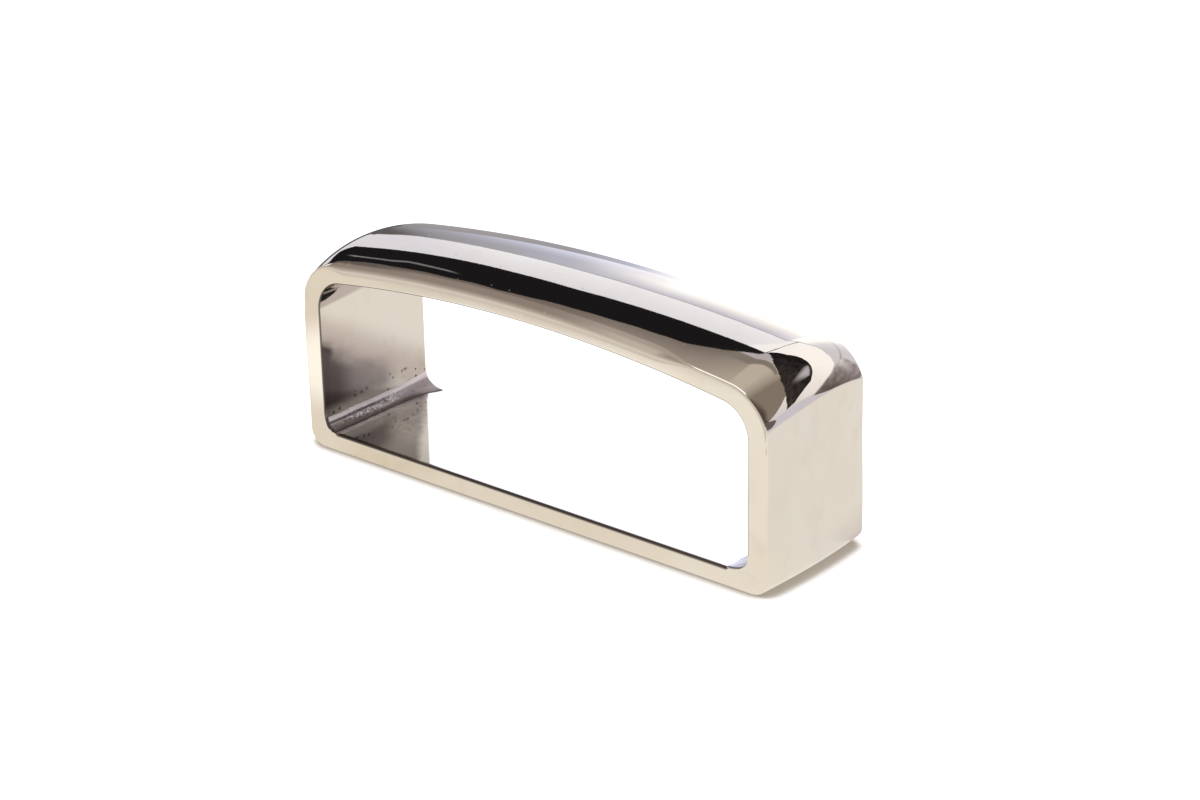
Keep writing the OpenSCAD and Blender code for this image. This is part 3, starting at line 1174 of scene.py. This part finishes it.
def dark_cards():
    """Two black strips above the loop, with what shows along their edges."""
    card("dark_left", DARK,
         [(-65, 36), (-50, 35.5), (-45, 31), (-40, 27), (-33, 27), (-27, 28), (-24.9, 33.6), (-24.4, 37),
          (-23.3, 42.5)],
         [(-65, 54), (-60, 60), (-59.2, 70), (-57.3, 76), (-56.2, 69), (-54.2, 61.6), (-51.7, 54.9),
          (-49.8, 52.4), (-47.6, 51.2), (-44, 48.5), (-40, 45), (-36, 42.6), (-27, 43), (-25, 43.3),
          (-23.3, 43)],
         even(BLACK, -65, -23.3), waver=WAVER)
    card("streak", DETAIL,
         [(-51.2, 41.2), (-50, 39.8), (-48.2, 38.1), (-47, 38.5), (-45.6, 36.5), (-44.4, 35.1),
          (-43.2, 33.4)],
         [(-51.2, 43), (-50, 41.5), (-48.2, 40), (-47, 40.5), (-45.6, 38.5), (-44.4, 36.9),
          (-43.2, 34.9)],
         level((-51.2, STREAK_PALE), (-49.5, STREAK), (-43.2, STREAK)), Soft(0.5, 0.5, 0.6, 1.2))
    card("dark_right", DARK,
         [(-23, 42.2), (-20.4, 42), (-10, 36.5), (-2.8, 33.2), (12, 30.4), (26.6, 30.4), (35, 33.5),
          (42.9, 37.5), (51.5, 43.9), (59, 54.2)],
         [(-23, 43), (-7.6, 43.9), (2.5, 48), (16.7, 52.3), (27.3, 56.7), (36, 58.7), (42, 56.6), (49, 55),
          (57, 56.4), (59, 56)],
         [(-23, (BLACK, BLACK)), (20, (BLACK_WARM, BLACK)), (59, (BLACK_WARM, BLACK_WARM))],
         mottle=0.9, waver=WAVER)
    card("pale_spot", DETAIL, [(15, 47), (26, 43), (38, 38)], [(15, 51), (25, 54.5), (31, 56), (38, 48)],
         even(HAZE, 15, 38), Soft(7, 2, 6, 10))
    card("olive_band", BAND, [(-24.5, 30), (-10, 29.5), (12, 27.5)], [(-24.5, 36), (-10, 34), (12, 30)],
         even(OLIVE, -24.5, 12), Soft(low=1.5))
    card("haze_band", BAND, [(-24.5, 36), (-10, 34), (2, 32.4)], [(-24.5, 43.5), (-10, 38), (2, 33)],
         even(HAZE, -24.5, 2), Soft(low=0.8))


def corner_cards():
    """Dark things beside the loop, at both ends of the front edge."""
    card("dark_corner", DARK, [(-80, 33), (-60.3, 33)], [(-80, 66), (-62, 66), (-60.3, 58)],
         even(UMBER, -80, -60.3))
    card("dark_tip", NEAR - 1, [(71.7, 30), (88, 30)], [(71.7, 112), (88, 120)], even(BROWN, 71.7, 88),
         Soft(start=0.7), CORNER)


def strip_cards():
    """Long white soft boxes behind the black strips, with the thin dark lines of their frames."""
    left_top = [(-65, 100), (-50.6, 92), (-49.4, 76), (-48.4, 71), (-47, 71.5), (-46, 73), (-44, 70),
                (-41, 66), (-37, 62.6), (-33, 61.2), (-25, 60.5)]
    right_top = [(-25, 60.5), (-13, 60.5), (-4, 64), (3.8, 65.6), (16.8, 71.8), (27.8, 71.7), (41.4, 69.2),
                 (51.9, 64), (58.4, 60.4), (69.5, 60.8)]
    card("strip_left", STRIP, [(-65, 40), (-25, 40)], left_top,
         [(-65, (STRIP_COOL, STRIP_COOL)), (-46, (STRIP_COOL, STRIP_COOL)),
          (-41.5, (STRIP_COOL, STRIP_HIGH)), (-25, (STRIP_LOW, STRIP_HIGH))])
    card("strip_right", STRIP, [(-25, 40), (69.5, 40)], right_top,
         level((-25, STRIP_SEAM), (0, STRIP_WARM), (20, STRIP_WARM), (69.5, STRIP_DIM)))
    outline = left_top + right_top[1:4]
    line_low = [(along, lean - 0.3) for along, lean in outline]
    line_high = [(along, lean + 0.5) for along, lean in outline]
    card("strip_line", BAND, line_low, line_high,
         [(-65, (LINE_GREY, LINE_GREY)), (-25, (LINE_GREY, LINE_PALE)), (7, (LINE_PALE, LINE_PALE))])
    card("strip_seam", DETAIL, [(-23.6, 41.2), (-19.8, 47), (-19, 56), (-18.4, 59.6)],
         [(-23.6, 42.8), (-20.2, 49.8), (-19.5, 59.4), (-18.4, 61.6)], even(BROWN, -23.6, -18.4))


def back_cards():
    """The lilac wall behind, which brightens to a glare, and a brown thing close to the right."""
    card("lilac_wall", BACK, [(-75, 58), (-24, 58)], [(-75, 92), (-24, 92)], [
        (-75, [OLIVE_DEEP] * 3),
        (-46.5, [OLIVE_DEEP] * 3),
        (-44.5, [LILAC_DEEP] * 3),
        (-38, (LILAC, LILAC, LILAC_PALE)),
        (-33, (LILAC_SOFT, GLARE, GLARE)),
        (-27, (LILAC_SOFT, GLARE, GLARE)),
        (-24, (LILAC_PALE, GLARE, GLARE))])
    card("glare_wall", BACK, [(-24, 58), (28, 58)], [(-24, 92), (28, 92)],
         level((-24, GLARE), (-17, GLARE), (-11, GLARE_SOFT), (-2, GLARE_DIM), (28, SIDE_GREY)))
    card("side_wall", BACK, [(28, 50), (80, 40)], [(28, 92), (80, 92)],
         level((28, SIDE_GREY), (56, SIDE_GREY), (62, HAZE_PALE), (80, HAZE_PALE)))
    card("low_glare", NEAR, [(-75, 88), (7, 88)], [(-75, 112), (-52, 112), (-44, 100), (7, 100)],
         level((-75, UMBER), (-60, GREY), (-50, GREY), (-45, LILAC), (-40, GLARE), (-20, GLARE),
               (-12, GLARE_SOFT), (-4, GLARE_DIM), (7, GLARE_DIM)), Soft(low=1), CORNER)
    card("low_olive", NEAR - 2, [(-80, 88), (-64.5, 88), (-63, 108)], [(-80, 112), (-63, 112)],
         even(OLIVE_DEEP, -80, -63), Soft(low=1, end=1.5), CORNER)
    card("brown_thing", NEAR,
         [(4, 74), (9, 75.5), (17, 73), (24.6, 73.2), (32.3, 71.4), (43, 70.2), (48, 72)],
         [(4, 96), (12.5, 98), (22, 96), (31, 92), (40, 84), (48, 76)],
         [(4, (SIDE_GREY, MAUVE, BROWN_GREY)), (12, (SIDE_GREY, MAUVE, BROWN_GREY)),
          (20, (MAUVE, BROWN_GREY, BROWN)), (30, (BROWN_GREY, BROWN, BROWN)), (48, (BROWN, BROWN, BROWN))],
         Soft(low=2, start=3, end=3), CORNER, mottle=0.4)
    card("low_lilac", NEAR, [(4, 97), (31, 91), (41, 82), (48, 73), (60, 69), (80, 80)],
         [(4, 104), (26, 106), (50, 108), (63, 113), (74, 130), (80, 130)],
         level((4, SIDE_GREY), (80, HAZE_PALE)), Soft(low=2, start=2), CORNER)


def wall_card():
    """A flat card behind the loop, which the left wall and the bar see in each other.

    It slants so that the arch sees it edge on.
    """
    places = [(7, 16), (16, 16), (16, 30), (7, 30)]
    points = [(x, y, WALL_SHADE_Z + WALL_SHADE_SLOPE * y) for x, y in places]
    colours = [(*tone, 1.0) for tone in (SHADE, SHADE_DEEP, SHADE_DEEP, SHADE)]
    stage_card("wall_shade", points, [(0, 1, 2, 3)], colours)


def studio_world():
    world = bpy.data.worlds.new("studio")
    bpy.context.scene.world = world
    world.use_nodes = True
    n = Nodes(world.node_tree)
    back = n.add("ShaderNodeBackground")
    out = n.add("ShaderNodeOutputWorld")
    n.feed(out.inputs["Surface"], back.outputs[0])
    back.inputs["Color"].default_value = (1, 1, 1, 1)
    back.inputs["Strength"].default_value = 1.0


# Camera: the photograph's view, from the front right, above the loop
IMAGE_PX = 1200
FOCAL_PX = 3093.5
SENSOR_MM = 36.0
CAMERA_PLACE = (0.08406, -0.0969, 0.059)
# Yaw, pitch and roll in degrees
CAMERA_ANGLES = (40.425, 23.026, -1.123)


def camera():
    yaw, pitch, roll = (math.radians(angle) for angle in CAMERA_ANGLES)
    ahead = Vector((-math.sin(yaw) * math.cos(pitch), math.cos(yaw) * math.cos(pitch), -math.sin(pitch)))
    right = Vector((math.cos(yaw), math.sin(yaw), 0))
    up = right.cross(ahead)
    turned_right = right * math.cos(roll) + up * math.sin(roll)
    turned_up = up * math.cos(roll) - right * math.sin(roll)
    data = bpy.data.cameras.new("camera")
    data.sensor_fit = "HORIZONTAL"
    data.sensor_width = SENSOR_MM
    data.lens = FOCAL_PX / IMAGE_PX * SENSOR_MM
    data.clip_start = 0.001
    data.clip_end = 100
    made = bpy.data.objects.new("camera", data)
    bpy.context.scene.collection.objects.link(made)
    turn = Matrix((turned_right, turned_up, -ahead)).transposed()
    made.matrix_world = Matrix.Translation(CAMERA_PLACE) @ turn.to_4x4()
    bpy.context.scene.camera = made


camera()
solder = solder_material()
build_piece("bow", bow_loops(), ring_marks(), bow_material(), "domed_bow")
build_piece("bar", bar_loops(), ring_marks(), bar_material(), "base_bar")
build_piece("solder_left", solder_left(), solder_marks(), solder, "solder_seam_left")
build_piece("solder_right", solder_right(), solder_marks(), solder, "solder_seam_right")
floor()
ceiling_cards()
dark_cards()
corner_cards()
strip_cards()
back_cards()
wall_card()
studio_world()
bpy.context.scene.view_settings.view_transform = "Standard"
